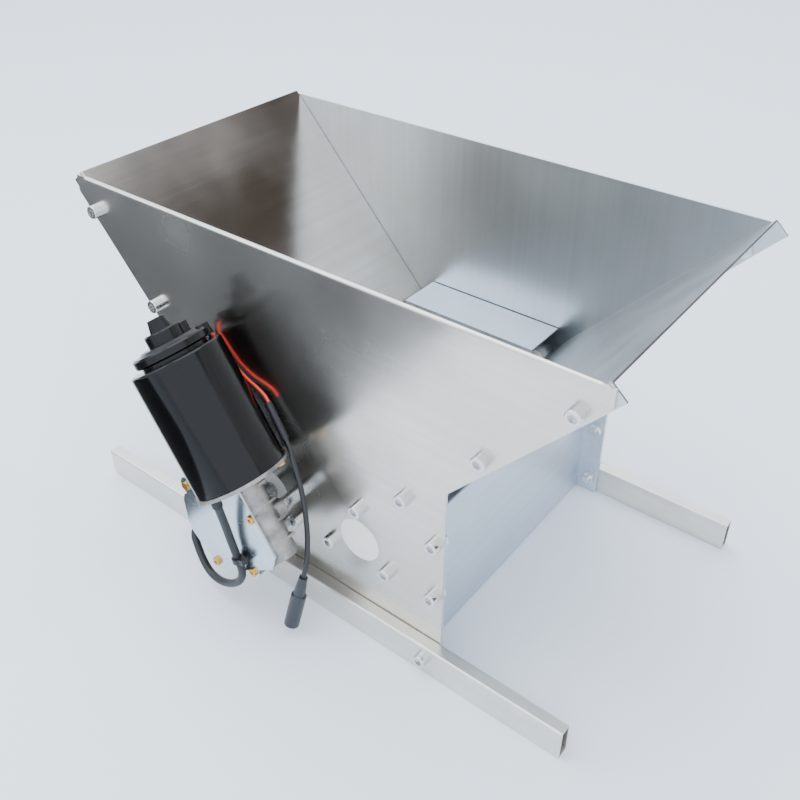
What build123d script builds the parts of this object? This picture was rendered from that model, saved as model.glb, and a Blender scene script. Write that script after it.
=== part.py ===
from build123d import *
import math
import os

# A two-roller grape crusher with a gearmotor, in millimetres, +Z up. Inside this file y = 0 is the outer
# face of the near side plate and z = 0 the ground. The written nodes are shifted along Y, so that the
# origin is at the bottom centre of the whole machine.

# Hopper and body
MOUTH_HALF = 206.4  # half the hopper mouth, inside the sloped walls
DEPTH = 230.0  # over the two side plates
HEIGHT = 282.0  # top edge of the side plates
SHEET = 1.5  # side plate
WALL = 1.2  # sloped walls, chute panels and guard
BEND_R = 1.1  # outside of the bends between walls and flanges
WALL_SLOPE = 42.5  # degrees from vertical
WALL_FOOT = 128.0  # height of the sloped walls' lower edge
WALL_RISE = 3.5  # sloped wall above the side plates, along the slope
FLANGE = 13.0  # bent flanges of walls and panels
PLATE_EAR = 6.1  # side plate past the hopper mouth
EAR_DROP = 12.5  # short vertical edge at the side plate's top corners
HEM = 10.0
HEM_THICK = 3.5
CHUTE_HALF = 99.0  # outer face of the chute panels
CHUTE_TOP = 121.0
CHUTE_FLANGE = 18.0
SHOULDER = 161.0  # where the side plate's slope meets its vertical edge

# Feet
RAIL_LENGTH = 444.0
RAIL_OFFSET = 5.0
RAIL_THICK = 10.0
RAIL_HIGH = 25.0
RAIL_WALL = 1.2

# Fasteners
BOLT_R = 3.0
BOLT_HEAD_R = 5.0
BOLT_HEAD = 6.0
BOLT_SOCKET = 5.0
SLOPE_BOLT_OUT = 6.5  # from a sloped wall's inner face
NUT_FLATS = 10.0
NUT_HIGH = 5.0
HOLE_GAP = 0.3
THREAD_GAP = 0.03

# Rollers, shafts and bearings
AXIS_HIGH = 79.5
AXIS_MIDDLE = 4.5
SHAFT_R = 6.0
SHAFT_FIT = 0.05
GEAR_MODULE = 3.0
GEAR_TEETH = 28
GEAR_WIDE = 17.0
ROLLER_R = 34.0
ROLLER_WALL = 3.0
RIB_R = 46.0
RIB_THICK = 4.0
RIB_COUNT = 8
ROLLER_START = 20.0
ROLLER_END = 185.0
BEARING_DISC_R = 17.0
BEARING_THICK = 8.0
BEARING_BOLT_R = 29.0
BEARING_LOBE_R = 8.5
FACE_GAP = 0.3

# Gear guard
GUARD_FACE = 188.0
GUARD_HALF = 61.3
GUARD_TOP = 146.0
GUARD_FOOT = 18.0
SPACER_R = 5.0
GUARD_SCREW_R = 2.5

# Gearmotor: its own frame has its origin on the output axis, +Z along the motor and +Y into the machine
MOTOR_LEAN = 34.7  # degrees from vertical
MOTOR_Y = -37.0
MOTOR_X = 34.8
CAN_BASE = 30.5
CAN_TOP = 122.7
CAN_R = 33.0
CAN_WALL = 1.5
FLANGE_R = 34.0
FLANGE_THICK = 2.5
COVER_FACE = -49.0
COVER_THICK = 1.5
GASKET = 0.5
HOUSING_BACK = -29.0
LUG_BACK = -24.0
LUG_R = 7.0
LUG_CIRCLE = 39.4
LUG_ANGLE = -4.2
STANDOFF_R = 5.0
MOUNT_SCREW_R = 2.5
MOUNT_GRIP = 4.4  # screw in the lug, short of the worm
WHEEL_TEETH = 56
WORM_MODULE = 1.0
WHEEL_WIDE = 9.0
OUTPUT_BOSS_R = 13.0
OUTPUT_BOSS_BACK = -22.5
BUSH_WALL = 3.0
MOTOR_SHAFT_R = 4.0
COUPLING_R = 10.0
COUPLING_START = -21.5
COUPLING_END = -3.5
SHAFT_JOINT = -12.5

# Cords
LEAD_D = 2.2
SLEEVE_D = 5.4
CORD_D = 3.8
CABLE_D = 5.8

# Worked out from the sizes above
PITCH_R = GEAR_MODULE * GEAR_TEETH / 2
DRIVE_X = AXIS_MIDDLE - PITCH_R
DRIVEN_X = AXIS_MIDDLE + PITCH_R
INNER_FAR = DEPTH - SHEET
HEAD_REACH = RAIL_THICK + BOLT_HEAD
HOLE_R = BOLT_R + HOLE_GAP
WHEEL_R = WORM_MODULE * WHEEL_TEETH / 2
WORM_R = MOTOR_X - WHEEL_R
WORM_PITCH = math.pi * WORM_MODULE
CHAMBER_R = WHEEL_R + WORM_MODULE + 0.5
HOUSING_FRONT = COVER_FACE + COVER_THICK + GASKET
SLOPE_DIR = Vector(math.sin(math.radians(WALL_SLOPE)), math.cos(math.radians(WALL_SLOPE)))
SLOPE_OUT = Vector(math.cos(math.radians(WALL_SLOPE)), -math.sin(math.radians(WALL_SLOPE)))
FRONT = MOTOR_Y - FLANGE_R
BACK = DEPTH + HEAD_REACH
ORIGIN = Location((0, -(FRONT + BACK) / 2, 0))
GEARMOTOR = Location((DRIVE_X, 0, AXIS_HIGH)) * Rot(0, -MOTOR_LEAN, 0)


# ---- shared shapes ----
def prism(points, height):
    """Solid of a flat outline in XY, from z = 0 up."""
    return extrude(make_face(Polyline(*points, close=True)), height, dir=(0, 0, 1))


def slab(points, y0, y1):
    """Solid of an outline given in (x, z), between two heights of y."""
    return Pos(0, y1, 0) * Rot(90, 0, 0) * prism(points, y1 - y0)


def block(x0, x1, y0, y1, z0, z1):
    middle = ((x0 + x1) / 2, (y0 + y1) / 2, (z0 + z1) / 2)
    return Pos(*middle) * Box(x1 - x0, y1 - y0, z1 - z0)


def rod(x, z, y0, y1, radius):
    """Round bar along Y."""
    return Pos(x, (y0 + y1) / 2, z) * Rot(90, 0, 0) * Cylinder(radius, y1 - y0)


def post(x, y, z0, z1, radius, top=None):
    """Round bar along Z, or a cone when its top radius is given."""
    middle = Pos(x, y, (z0 + z1) / 2)
    if top is None:
        return middle * Cylinder(radius, z1 - z0)
    return middle * Cone(radius, top, z1 - z0)


def circle_points(radius, angles):
    return [(radius * math.cos(math.radians(a)), radius * math.sin(math.radians(a))) for a in angles]


def mirrored(points):
    return [(-x, z) for x, z in points]


def both_sides(points):
    return points + mirrored(points)


def write(name, *solids):
    placed = [ORIGIN * solid for solid in solids]
    shape = placed[0] if len(placed) == 1 else Compound(children=placed)
    export_step(shape, f"parts/{name}.step")


# ---- places of the bolts ----
def slope_point(along, out):
    """Point beside a right-hand sloped wall, measured down from its top line and outward from its face."""
    return (
        MOUTH_HALF - SLOPE_DIR.X * along + SLOPE_OUT.X * out,
        HEIGHT - SLOPE_DIR.Y * along + SLOPE_OUT.Y * out,
    )


SLOPE_BOLTS = both_sides([slope_point(along, SLOPE_BOLT_OUT) for along in (25, 105, 187)])
FLANGE_BOLT_X = CHUTE_HALF + CHUTE_FLANGE * 0.61
CHUTE_BOLTS = both_sides([(FLANGE_BOLT_X, CHUTE_TOP - 6.5), (FLANGE_BOLT_X, CHUTE_TOP - 54)])
RAIL_BOLTS = both_sides([(FLANGE_BOLT_X, RAIL_HIGH - 9.5)])
WALL_BOLTS = SLOPE_BOLTS + CHUTE_BOLTS
LOBES = circle_points(BEARING_BOLT_R, (90, 210, 330))
BEARING_BOLTS = [(x + dx, AXIS_HIGH + dz) for x in (DRIVE_X, DRIVEN_X) for dx, dz in LOBES]
SPACERS = [
    (AXIS_MIDDLE + side * reach, z)
    for reach, z in ((PITCH_R * 0.78, GUARD_TOP - 12), (PITCH_R * 1.7, RAIL_HIGH + 6))
    for side in (-1, 1)
]
LUGS = circle_points(LUG_CIRCLE, [LUG_ANGLE + turn for turn in (0, 120, 240)])
STANDOFFS = []
for lug_x, lug_z in LUGS:
    place = (GEARMOTOR * Pos(lug_x, 0, lug_z)).position
    STANDOFFS.append((place.X, place.Z))


# ---- sheet metal body ----
def plate_outline():
    """Funnel outline of a side plate, from its bottom right round to the left."""
    top_x = MOUTH_HALF + PLATE_EAR
    foot_x = CHUTE_HALF + CHUTE_FLANGE
    right = [(foot_x, 0), (foot_x, SHOULDER), (top_x, HEIGHT - EAR_DROP), (top_x, HEIGHT)]
    return right + [(-x, z) for x, z in reversed(right)]


def side_plate(y0, extra_holes):
    body = slab(plate_outline(), y0, y0 + SHEET)
    for x, z in WALL_BOLTS + RAIL_BOLTS + BEARING_BOLTS:
        body -= rod(x, z, y0 - 1, y0 + SHEET + 1, HOLE_R)
    for x in (DRIVE_X, DRIVEN_X):
        body -= rod(x, AXIS_HIGH, y0 - 1, y0 + SHEET + 1, BEARING_DISC_R + HOLE_GAP / 3)
    for x, z, radius in extra_holes:
        body -= rod(x, z, y0 - 1, y0 + SHEET + 1, radius)
    return body


def near_plate():
    """The near plate's top edge is folded over to the inside."""
    holes = [(x, z, MOUNT_SCREW_R + HOLE_GAP) for x, z in STANDOFFS]
    half = MOUTH_HALF - 2.0
    lip_r = HEM_THICK / 2
    fold = block(-half, half, SHEET, HEM_THICK, HEIGHT - HEM, HEIGHT - lip_r)
    fold += Pos(0, lip_r, HEIGHT - lip_r) * Rot(0, 90, 0) * Cylinder(lip_r, 2 * half)
    low = slope_point(HEM * 2 / SLOPE_DIR.Y, -HOLE_GAP)
    high = slope_point(-HEM, -HOLE_GAP)
    between_walls = [low, high, (-high[0], high[1]), (-low[0], low[1])]
    body = side_plate(0, holes)
    body -= block(-half, half, -1, SHEET + 1, HEIGHT - lip_r, HEIGHT + 1)
    behind = fold & slab(between_walls, SHEET, HEM_THICK + 1)
    return body + behind + (fold & block(-half, half, -1, SHEET, 0, HEIGHT))


def far_plate():
    return side_plate(INNER_FAR, [(x, z, GUARD_SCREW_R + HOLE_GAP) for x, z in SPACERS])


def slope_strip(foot, width, y0, y1):
    """Strip along a right-hand sloped wall, of a width measured outward."""
    along = (HEIGHT - foot) / SLOPE_DIR.Y
    corners = [
        slope_point(along, 0),
        slope_point(-WALL_RISE, 0),
        slope_point(-WALL_RISE, width),
        slope_point(along, width),
    ]
    return slab(corners, y0, y1)


def round_bends(body, on_face, outward):
    """Round the two long edges where a wall's inner face, through a point in (x, z), meets its flanges."""
    bends = []
    for edge in body.edges():
        middle = edge.center()
        off_face = (middle.X - on_face[0]) * outward.X + (middle.Z - on_face[1]) * outward.Y
        at_flange = min(abs(middle.Y - SHEET), abs(middle.Y - INNER_FAR)) < FACE_GAP
        if abs(off_face) < FACE_GAP and at_flange and edge.length > FLANGE:
            bends.append(edge)
    return fillet(bends, BEND_R)


def hopper_wall():
    """Right-hand sloped wall with a flange bent outward at each side plate."""
    body = slope_strip(WALL_FOOT, WALL, SHEET, INNER_FAR)
    for y0 in (SHEET, INNER_FAR - WALL):
        body += slope_strip(WALL_FOOT, FLANGE, y0, y0 + WALL)
    body = round_bends(body, slope_point(0, 0), SLOPE_OUT)
    for y0 in (SHEET, INNER_FAR - WALL):
        for x, z in SLOPE_BOLTS[:3]:
            body -= rod(x, z, y0 - 1, y0 + WALL + 1, HOLE_R)
    return body


def chute_panel():
    """Right-hand lower panel, with its two flanges."""
    body = block(CHUTE_HALF - WALL, CHUTE_HALF, SHEET, INNER_FAR, 1.0, CHUTE_TOP)
    for y0 in (SHEET, INNER_FAR - WALL):
        body += block(CHUTE_HALF - WALL, CHUTE_HALF + CHUTE_FLANGE, y0, y0 + WALL, 1.0, CHUTE_TOP)
    body = round_bends(body, (CHUTE_HALF - WALL, 0), Vector(1, 0))
    for y0 in (SHEET, INNER_FAR - WALL):
        for x, z in CHUTE_BOLTS[:2] + RAIL_BOLTS[:1]:
            body -= rod(x, z, y0 - 1, y0 + WALL + 1, HOLE_R)
    return body


def foot_rail(y0, shift):
    """Hollow rectangular tube under a side plate, open at both ends."""
    half = RAIL_LENGTH / 2
    body = block(shift - half, shift + half, y0, y0 + RAIL_THICK, 0, RAIL_HIGH)
    body = fillet(body.edges().filter_by(Axis.X), 1.5)
    inside = (y0 + RAIL_WALL, y0 + RAIL_THICK - RAIL_WALL, RAIL_WALL, RAIL_HIGH - RAIL_WALL)
    body -= block(shift - half - 1, shift + half + 1, *inside)
    for x, z in RAIL_BOLTS:
        body -= rod(x, z, y0 - 1, y0 + RAIL_THICK + 1, HOLE_R)
    return body


# ---- bolts and nuts ----
def cap_screw(length, radius=BOLT_R, head_r=BOLT_HEAD_R, head=BOLT_HEAD, flats=BOLT_SOCKET):
    """Socket head screw, its head up from z = 0 and its shank down."""
    top = post(0, 0, 0, head, head_r)
    top = chamfer(top.edges().sort_by(Axis.Z)[-1], head * 0.07)
    body = top + post(0, 0, -length, 0.01, radius)
    socket = extrude(RegularPolygon(flats / 2, 6, major_radius=False), head * 0.55)
    return body - Pos(0, 0, head * 0.5) * socket


def facing_near(x, y, z):
    return Pos(x, y, z) * Rot(90, 0, 0)


def facing_far(x, y, z):
    return Pos(x, y, z) * Rot(-90, 0, 0)


def nut():
    """Hexagon nut, up from z = 0."""
    body = extrude(RegularPolygon(NUT_FLATS / 2, 6, major_radius=False), NUT_HIGH)
    body &= Pos(0, 0, NUT_HIGH / 2) * chamfer(
        Cylinder(NUT_FLATS * 0.56, NUT_HIGH).edges().filter_by(GeomType.CIRCLE), 0.8
    )
    return body - post(0, 0, -1, NUT_HIGH + 1, BOLT_R + THREAD_GAP)


def near_screws(points, y_face, length):
    return [facing_near(x, y_face, z) * cap_screw(length) for x, z in points]


def far_screws(points, y_face, length):
    return [facing_far(x, y_face, z) * cap_screw(length) for x, z in points]


def nuts(points, y0):
    """Nuts from y0 towards the far side, each with a flat along the sloped wall of its side."""
    turn = WALL_SLOPE - 30
    return [facing_far(x, y0, z) * Rot(0, 0, math.copysign(turn, x)) * nut() for x, z in points]


# ---- bearings and rollers ----
def bearing(x, near, blind):
    """Nylon flange bearing inside a side plate, its disc flush in the plate."""
    face = SHEET if near else INNER_FAR - BEARING_THICK
    disc_end = 0.0 if near else DEPTH
    lobes = [Pos(dx, dz) * Circle(BEARING_LOBE_R) for dx, dz in LOBES]
    flange = extrude(make_hull(lobes[0].edges() + lobes[1].edges() + lobes[2].edges()), BEARING_THICK)
    body = Pos(x, face + BEARING_THICK, AXIS_HIGH) * Rot(90, 0, 0) * flange
    y_low, y_high = sorted((disc_end, face + BEARING_THICK / 2))
    body += rod(x, AXIS_HIGH, y_low, y_high, BEARING_DISC_R)
    for dx, dz in LOBES:
        body -= rod(x + dx, AXIS_HIGH + dz, face - 1, face + BEARING_THICK + 1, HOLE_R)
    skin = 1.5 if blind else -1
    bore = (skin, face + BEARING_THICK + 1) if near else (face - 1, DEPTH - skin)
    return body - rod(x, AXIS_HIGH, *bore, SHAFT_R + SHAFT_FIT)


def roller(x, phase):
    """Ribbed drum with a hub in each end."""
    body = rod(x, AXIS_HIGH, ROLLER_START, ROLLER_END, ROLLER_R)
    body -= rod(x, AXIS_HIGH, ROLLER_START + ROLLER_WALL, ROLLER_END - ROLLER_WALL, ROLLER_R - ROLLER_WALL)
    for y0, y1 in ((ROLLER_START, ROLLER_START + 16), (ROLLER_END - 16, ROLLER_END)):
        body += rod(x, AXIS_HIGH, y0, y1, SHAFT_R * 2)
    rib = block(ROLLER_R - 1.5, RIB_R, ROLLER_START, ROLLER_END, -RIB_THICK / 2, RIB_THICK / 2)
    rib = fillet(rib.edges().filter_by(Axis.Y).sort_by(Axis.X)[-2:], RIB_THICK * 0.45)
    for k in range(RIB_COUNT):
        body += Pos(x, 0, AXIS_HIGH) * Rot(0, phase + 360 / RIB_COUNT * k, 0) * rib
    return body - rod(x, AXIS_HIGH, ROLLER_START - 1, ROLLER_END + 1, SHAFT_R)


GEAR_START = GUARD_FACE + WALL + 3.0
KEY_WIDE = 4.0
KEY_HIGH = 4.0


def gear_key(x, gap=0.0):
    low = SHAFT_R - KEY_HIGH / 2
    high = SHAFT_R + KEY_HIGH / 2
    side = KEY_WIDE / 2 + gap
    y0, y1 = GEAR_START + 1, GEAR_START + GEAR_WIDE - 1
    return block(x - side, x + side, y0, y1, AXIS_HIGH + low - gap, AXIS_HIGH + high + gap)


def roller_shaft(x, start):
    end = INNER_FAR + SHEET - 2.5
    body = rod(x, AXIS_HIGH, start, end, SHAFT_R)
    body = chamfer(body.edges().filter_by(GeomType.CIRCLE), 0.6)
    return body - gear_key(x, THREAD_GAP)


def involute_outline(module, teeth, play):
    """Closed outline of a 20 degree spur gear, with a tooth centred on +X."""
    pitch = module * teeth / 2
    base = pitch * math.cos(math.radians(20))
    root, tip = pitch - 1.25 * module, pitch + module
    half = math.pi / (2 * teeth) - play / (2 * pitch)
    spread = math.tan(math.radians(20)) - math.radians(20)
    steps = [base + (tip - base) * k / 4 for k in range(5)]
    flank = [(root, half + spread)]
    for r in steps:
        angle = math.acos(min(1.0, base / r))
        flank.append((r, half + spread - (math.tan(angle) - angle)))
    points = []
    for tooth in range(teeth):
        middle = 2 * math.pi * tooth / teeth
        rising = [(r, middle - a) for r, a in flank]
        falling = [(r, middle + a) for r, a in reversed(flank)]
        points += [(r * math.cos(a), r * math.sin(a)) for r, a in rising + falling]
    return points


def roller_gear(x, turn):
    """Steel spur gear on a roller's shaft."""
    blank = prism(involute_outline(GEAR_MODULE, GEAR_TEETH, 0.35), GEAR_WIDE)
    for dx, dy in circle_points(PITCH_R * 0.6, (45, 135, 225, 315)):
        blank -= post(dx, dy, -1, GEAR_WIDE + 1, PITCH_R * 0.17)
    body = Pos(x, GEAR_START + GEAR_WIDE, AXIS_HIGH) * Rot(90, 0, 0) * Rot(0, 0, turn) * blank
    body -= rod(x, AXIS_HIGH, GEAR_START - 1, GEAR_START + GEAR_WIDE + 1, SHAFT_R + THREAD_GAP)
    return body - gear_key(x, THREAD_GAP)


# ---- gear guard ----
def gear_guard():
    """Folded sheet: an upright face, and a ledge over the gears up to the far plate."""
    back = INNER_FAR - 1.0
    left, right = AXIS_MIDDLE - GUARD_HALF - 1, AXIS_MIDDLE + GUARD_HALF - 1
    wide = CHUTE_HALF - WALL - 4
    neck = WALL_FOOT - 6
    outline = [
        (-wide, GUARD_FOOT),
        (wide, GUARD_FOOT),
        (wide, CHUTE_TOP - 4),
        (right, neck),
        (right, GUARD_TOP),
        (left, GUARD_TOP),
        (left, neck),
        (-wide, CHUTE_TOP - 4),
    ]
    body = slab(outline, GUARD_FACE, GUARD_FACE + WALL)
    body += block(left, right, GUARD_FACE, back, GUARD_TOP - WALL, GUARD_TOP)
    for x in (DRIVE_X, DRIVEN_X):
        body -= rod(x, AXIS_HIGH, GUARD_FACE - 1, GUARD_FACE + WALL + 1, SHAFT_R + 2)
    for x, z in SPACERS:
        body -= rod(x, z, GUARD_FACE - 1, GUARD_FACE + WALL + 1, GUARD_SCREW_R + HOLE_GAP)
    return body


def guard_spacers():
    solids = []
    for x, z in SPACERS:
        spacer = rod(x, z, GUARD_FACE + WALL, INNER_FAR, SPACER_R)
        solids.append(spacer - rod(x, z, GUARD_FACE, DEPTH, GUARD_SCREW_R + THREAD_GAP))
    return solids


def guard_screws():
    near = [
        facing_near(x, GUARD_FACE, z) * cap_screw(12, GUARD_SCREW_R, 4.75, 2.8, 3) for x, z in SPACERS
    ]
    far = [facing_far(x, DEPTH, z) * cap_screw(12, GUARD_SCREW_R, 4.75, 2.8, 3) for x, z in SPACERS]
    return near + far


# ---- gearbox ----
COVER_SCREWS = [(39.4, 2.6), (-32.8, -27.7), (7.4, -38.2), (-17.5, 35.1)]


def gearbox_outline(grow):
    """Outline of the gearbox, round the worm wheel and along the worm."""
    corners = [
        (-27.5, 29),
        (-32.9, 24.4),
        (-41.6, 7.9),
        (-43.9, -0.6),
        (-41.1, -14.8),
        (-35.5, -23.8),
        (-34, -32.6),
        (-25, -36.3),
        (30.9, -37.7),
        (41.8, -29.1),
        (41.3, CAN_BASE - FLANGE_THICK - 0.3),
        (-9, CAN_BASE - FLANGE_THICK - 0.3),
    ]
    face = make_face(Polyline(*corners, close=True))
    face = fillet(face.vertices(), 2.5)
    top = COVER_SCREWS[3][1]
    face += make_face(Polyline((-24, 25), (-11, 25), (-11, top), (-24, top), close=True))
    for x, z in COVER_SCREWS[1:]:
        face += Pos(x, z) * Circle(5.2 if x > -10 else 6.5)
    return offset(face, grow) if grow else face


def upright(face, y0, y1):
    """Solid of a face drawn in (x, z), between two heights of y."""
    return Pos(0, y1, 0) * Rot(90, 0, 0) * extrude(face, y1 - y0, dir=(0, 0, 1))


def tie_places():
    return [(MOTOR_X + dx, MOTOR_Y + dy) for dx, dy in circle_points(29.8, (-105.5, 34, 150))]


GROMMET_X, GROMMET_Y = 34.7, -63.0
GROMMET_R = 4.0
SIDE_PORT = (-43.5, -38.0, -2.0)


def gearbox_housing():
    """Die-cast housing: wheel chamber, worm tunnel, output boss, lugs and the motor's flange."""
    flange_low = CAN_BASE - FLANGE_THICK
    body = upright(gearbox_outline(-0.6), HOUSING_FRONT, HOUSING_BACK)
    body += post(MOTOR_X, MOTOR_Y, -34, flange_low + 0.5, 10.2)
    for rib_z in (-22, -8, 6, 20):
        body += block(MOTOR_X, MOTOR_X + 10, MOTOR_Y, HOUSING_BACK + 1.5, rib_z - 1, rib_z + 1)
    body += post(MOTOR_X, MOTOR_Y, flange_low - 6, flange_low + 0.5, 13, 16)
    for x, z in LUGS:
        body += rod(x, z, HOUSING_BACK - 3, LUG_BACK, LUG_R)
    body += rod(0, 0, HOUSING_BACK - 1, OUTPUT_BOSS_BACK, OUTPUT_BOSS_R)
    body -= block(-80, 80, -80, HOUSING_FRONT, -60, flange_low)
    body += post(MOTOR_X, MOTOR_Y, flange_low, CAN_BASE, FLANGE_R)
    body += post(MOTOR_X, MOTOR_Y, CAN_BASE, CAN_BASE + 3, CAN_R - CAN_WALL - 0.1)
    body -= post(MOTOR_X, MOTOR_Y, CAN_BASE, CAN_BASE + 4, CAN_R - CAN_WALL - 3)
    body -= rod(0, 0, HOUSING_FRONT - 1, MOTOR_Y + WHEEL_WIDE / 2 + 0.5, CHAMBER_R)
    body -= rod(0, 0, HOUSING_FRONT - 1, OUTPUT_BOSS_BACK + 1, SHAFT_R + BUSH_WALL)
    body -= post(MOTOR_X, MOTOR_Y, -30, CAN_BASE + 4, WORM_R + WORM_MODULE + 0.5)
    for x, z in LUGS:
        body -= rod(x, z, LUG_BACK - MOUNT_GRIP - 0.1, LUG_BACK + 1, MOUNT_SCREW_R + THREAD_GAP)
    for x, z in COVER_SCREWS:
        body -= rod(x, z, HOUSING_FRONT - 1, HOUSING_FRONT + 3.4, 1.5 + THREAD_GAP)
    for x, y in tie_places():
        body -= post(x, y, flange_low - 1, CAN_BASE + 4, 1.5 + HOLE_GAP / 3)
    body -= post(GROMMET_X, GROMMET_Y, flange_low - 1, CAN_BASE + 4, GROMMET_R - 1)
    for dx, dz in LOBES:
        head = rod(DRIVE_X + dx, AXIS_HIGH + dz, -BOLT_HEAD - 1, 1, BOLT_HEAD_R + 0.5)
        body -= GEARMOTOR.inverse() * head
    return body - side_port_hole()


def side_port_hole():
    """Blind hole in the housing's left wall, where the sleeved cable goes in."""
    x, y, z = SIDE_PORT
    return Pos(x + 3, y, z) * Rot(0, 90, 0) * Cylinder(CABLE_D / 2 + 1.2, 8)


def gearbox_cover():
    """Flat zinc-plated lid with a raised field."""
    body = upright(gearbox_outline(0), COVER_FACE, COVER_FACE + COVER_THICK)
    for x, z in COVER_SCREWS:
        body -= rod(x, z, COVER_FACE - 1, COVER_FACE + COVER_THICK + 1, 1.5 + HOLE_GAP)
    return body


def gearbox_gasket():
    ring = gearbox_outline(-0.6)
    body = upright(ring, COVER_FACE + COVER_THICK, HOUSING_FRONT)
    body -= rod(0, 0, COVER_FACE, HOUSING_FRONT + 1, CHAMBER_R)
    for x, z in COVER_SCREWS:
        body -= rod(x, z, COVER_FACE, HOUSING_FRONT + 1, 1.5 + HOLE_GAP)
    return body


def cover_screws():
    return [facing_near(x, COVER_FACE, z) * cap_screw(4.4, 1.5, 3.3, 2.2, 2.6) for x, z in COVER_SCREWS]


def tie_screws():
    """Long screws up through the flange into the brush plate."""
    low = CAN_BASE - FLANGE_THICK
    flip = [Pos(x, y, low) * Rot(180, 0, 0) for x, y in tie_places()]
    return [place * cap_screw(FLANGE_THICK + 8.0, 1.5, 2.8, 2.4, 2.6) for place in flip]


def standoffs():
    """Round spacers between the side plate and the gearbox lugs, in the machine's frame."""
    solids = []
    for x, z in STANDOFFS:
        hole = rod(x, z, LUG_BACK - 1, 1, MOUNT_SCREW_R + HOLE_GAP)
        solids.append(rod(x, z, LUG_BACK, 0, STANDOFF_R) - hole)
    return solids


def mount_screws():
    length = SHEET - LUG_BACK + MOUNT_GRIP
    return [facing_far(x, SHEET, z) * cap_screw(length, MOUNT_SCREW_R, 4.3, 5, 4) for x, z in STANDOFFS]


def output_bush():
    body = rod(0, 0, MOTOR_Y + WHEEL_WIDE / 2 + 0.5, OUTPUT_BOSS_BACK, SHAFT_R + BUSH_WALL - THREAD_GAP)
    return body - rod(0, 0, MOTOR_Y, OUTPUT_BOSS_BACK + 1, SHAFT_R + SHAFT_FIT)


# ---- drive train of the gearbox ----
def worm_wheel():
    """Nylon wheel with straight teeth, a gap between teeth facing the worm."""
    tip, root = WHEEL_R + WORM_MODULE * 0.9, WHEEL_R - WORM_MODULE * 1.2
    step = 2 * math.pi / WHEEL_TEETH
    points = []
    for tooth in range(WHEEL_TEETH):
        middle = (tooth + 0.5) * step
        for r, share in ((root, -0.27), (tip, -0.12), (tip, 0.12), (root, 0.27)):
            angle = middle + share * step
            points.append((r * math.cos(angle), r * math.sin(angle)))
    blank = prism(points, WHEEL_WIDE)
    body = Pos(0, MOTOR_Y + WHEEL_WIDE / 2, 0) * Rot(90, 0, 0) * blank
    for dx, dz in circle_points(WHEEL_R * 0.62, range(0, 360, 60)):
        body -= rod(dx, dz, MOTOR_Y - WHEEL_WIDE, MOTOR_Y + WHEEL_WIDE, WHEEL_R * 0.16)
    body -= rod(0, 0, MOTOR_Y - WHEEL_WIDE, MOTOR_Y + WHEEL_WIDE, SHAFT_R + THREAD_GAP)
    return body - wheel_pin(2.0 + THREAD_GAP, WHEEL_R)


def wheel_pin(radius=2.0, reach=SHAFT_R + 5.0):
    return Pos(0, MOTOR_Y, 0) * Cylinder(radius, 2 * min(reach, SHAFT_R + 5.5))


def output_shaft():
    body = rod(0, 0, MOTOR_Y - WHEEL_WIDE / 2 - 2, SHAFT_JOINT, SHAFT_R)
    body = chamfer(body.edges().filter_by(GeomType.CIRCLE), 0.4)
    return body - wheel_pin(2.0 + THREAD_GAP, WHEEL_R) - coupling_pin(0, 0, 0, 2.0 + THREAD_GAP, 12)


COUPLING_PINS = ((COUPLING_START + SHAFT_JOINT) / 2, (COUPLING_END + SHAFT_JOINT) / 2)


def coupling_pin(x, z, which, radius=2.0, reach=COUPLING_R - 0.4):
    return Pos(x, COUPLING_PINS[which], z) * Cylinder(radius, 2 * reach)


def coupling():
    """Sleeve that joins the gearbox's output to the drive roller's shaft."""
    body = rod(0, 0, COUPLING_START, COUPLING_END, COUPLING_R)
    body = chamfer(body.edges().filter_by(GeomType.CIRCLE), 0.8)
    body -= rod(0, 0, COUPLING_START - 1, COUPLING_END + 1, SHAFT_R + THREAD_GAP)
    for which in (0, 1):
        body -= coupling_pin(0, 0, which, 2.0 + THREAD_GAP, 12)
    return body


# ---- motor ----
def worm_thread():
    """Right-hand thread of the worm; at the wheel's side its crest is level with the wheel's axis."""
    turns = 7
    root = WORM_R - WORM_MODULE * 1.2
    low = -(turns // 2 + 0.5) * WORM_PITCH
    path = Helix(WORM_PITCH, turns * WORM_PITCH, root, center=(0, 0, low))
    start = Plane(origin=path @ 0, x_dir=(1, 0, 0), z_dir=path % 0)
    tall = WORM_MODULE * 2.1
    profile = Polyline((-0.4, -0.62), (tall, -0.22), (tall, 0.22), (-0.4, 0.62), close=True)
    return sweep(start * make_face(profile), path=path, is_frenet=True)


def armature_shaft():
    """Motor shaft with its worm, from the thrust end up into the end cap."""
    body = post(0, 0, -28, CAN_TOP + 16, MOTOR_SHAFT_R)
    reach = WORM_PITCH * 4.2
    body += post(0, 0, -reach, reach, WORM_R - WORM_MODULE * 1.2)
    body += worm_thread()
    return Pos(MOTOR_X, MOTOR_Y, 0) * body


CORE = (58.0, 98.0)
MAGNET_IN = 26.0


def armature_core():
    """Laminated core with eight slots."""
    body = post(0, 0, *CORE, MAGNET_IN - 0.8)
    for angle in range(0, 360, 45):
        slot = block(14, 24.6, -2.6, 2.6, CORE[0] - 1, CORE[1] + 1)
        mouth = block(22, 30, -1.1, 1.1, CORE[0] - 1, CORE[1] + 1)
        body -= Rot(0, 0, angle) * (slot + mouth)
    return Pos(MOTOR_X, MOTOR_Y, 0) * (body - post(0, 0, 0, CAN_TOP, MOTOR_SHAFT_R + THREAD_GAP))


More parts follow.
